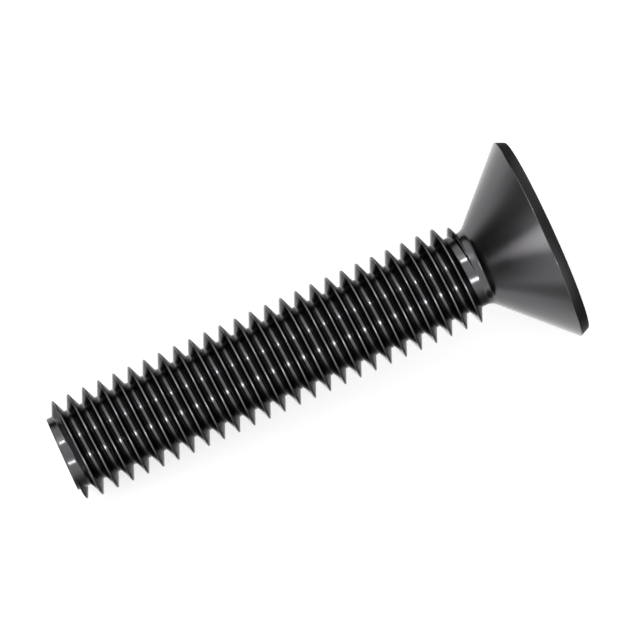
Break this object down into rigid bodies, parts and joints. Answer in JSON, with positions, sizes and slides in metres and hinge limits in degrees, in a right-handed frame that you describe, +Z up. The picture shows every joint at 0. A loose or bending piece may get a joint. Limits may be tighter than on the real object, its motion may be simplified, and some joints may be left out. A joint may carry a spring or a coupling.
{
  "type": "countersunk socket screw",
  "caption": "Countersunk screw with a flat 90 degree head, a hexagon socket and a right-hand metric thread up to the neck, in black steel, lying on its side.",
  "frame": {"origin": "on the floor, under the middle of the lying screw's box", "axes": "+X towards the head, +Z up; the screw's axis is in the XZ plane and leans 5.94 degrees down towards the tip"},
  "size_m": [0.0408, 0.016, 0.0159],
  "materials": {
    "black_steel": "black oxide, semi-gloss"
  },
  "bodies": {
    "root": {"screw": "black_steel"}
  },
  "joints": []
}
